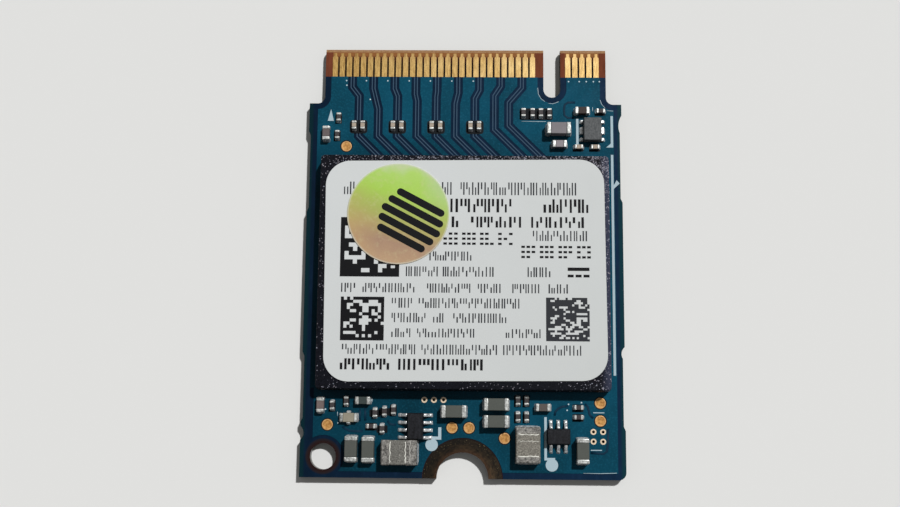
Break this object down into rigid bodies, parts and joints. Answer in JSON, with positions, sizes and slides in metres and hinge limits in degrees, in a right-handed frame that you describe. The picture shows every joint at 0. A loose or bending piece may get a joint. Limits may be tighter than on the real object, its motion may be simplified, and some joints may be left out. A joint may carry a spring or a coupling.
{
  "type": "gumstick solid state drive",
  "caption": "Short gumstick solid state drive card: edge contacts with a key slot, one labelled ball grid package, power parts and a half-round screw notch.",
  "frame": {"origin": "centre of the board outline, on the underside that it rests on", "axes": "+Y towards the card edge with the contact fingers, +Z out of the component side, +X to the right seen from above with the card edge away from the viewer"},
  "size_m": [0.022, 0.03, 0.0023],
  "materials": {
    "laminate": "blue-green solder mask over glass laminate",
    "gold": "plated gold",
    "bronze": "darkened plated copper",
    "copper": "bare copper with clear finish",
    "tin": "tinned",
    "solder": "reflowed solder",
    "ceramic_olive": "fired ceramic",
    "ceramic_grey": "fired ceramic",
    "ceramic_dark": "fired ferrite",
    "ceramic_pale": "fired ceramic",
    "inductor_core": "pressed metal powder",
    "mould": "black moulding compound with glittering filler",
    "chip_mould": "black moulding compound",
    "chip_grey": "grey moulding compound",
    "substrate": "thin laminate",
    "silicon": "polished silicon",
    "label": "printed film label",
    "ink": "black print",
    "seal": "foil with a green to pink shift",
    "legend": "white legend ink"
  },
  "bodies": {
    "root": {"circuit_board": "laminate", "edge_fingers_top": "gold", "edge_fingers_bottom": "gold", "screw_pad": "bronze", "test_pads": "copper", "plated_vias": "copper", "printed_legend": "legend", "solder_balls": "solder", "package_substrate": "substrate", "package_mould": "mould", "controller_die": "silicon", "memory_die_1": "silicon", "memory_die_2": "silicon", "memory_die_3": "silicon", "memory_die_4": "silicon", "label": "label", "label_print": "ink", "round_seal": "seal", "seal_marks": "ink", "coupling_capacitor_bodies": "ceramic_grey", "coupling_capacitor_ends": "tin", "small_chip_bodies": "ceramic_grey", "small_chip_ends": "tin", "middle_capacitor_bodies": "ceramic_grey", "middle_capacitor_ends": "tin", "chip_bead_bodies": "ceramic_dark", "chip_bead_ends": "tin", "inductor_left_core": "inductor_core", "inductor_left_ends": "tin", "inductor_right_core": "inductor_core", "inductor_right_ends": "tin", "regulator_chip_body": "chip_mould", "regulator_chip_leads": "tin", "load_switch_chip_body": "chip_mould", "load_switch_chip_leads": "tin", "power_chip_body": "chip_grey", "power_chip_contacts": "tin", "filter_body": "ceramic_pale", "filter_terminals": "tin", "solder_joints": "solder", "large_capacitor_1_body": "ceramic_olive", "large_capacitor_1_ends": "tin", "large_capacitor_2_body": "ceramic_olive", "large_capacitor_2_ends": "tin", "large_capacitor_3_body": "ceramic_olive", "large_capacitor_3_ends": "tin", "large_capacitor_4_body": "ceramic_olive", "large_capacitor_4_ends": "tin", "large_capacitor_5_body": "ceramic_olive", "large_capacitor_5_ends": "tin", "large_capacitor_6_body": "ceramic_olive", "large_capacitor_6_ends": "tin", "large_capacitor_7_body": "ceramic_olive", "large_capacitor_7_ends": "tin"}
  },
  "joints": []
}
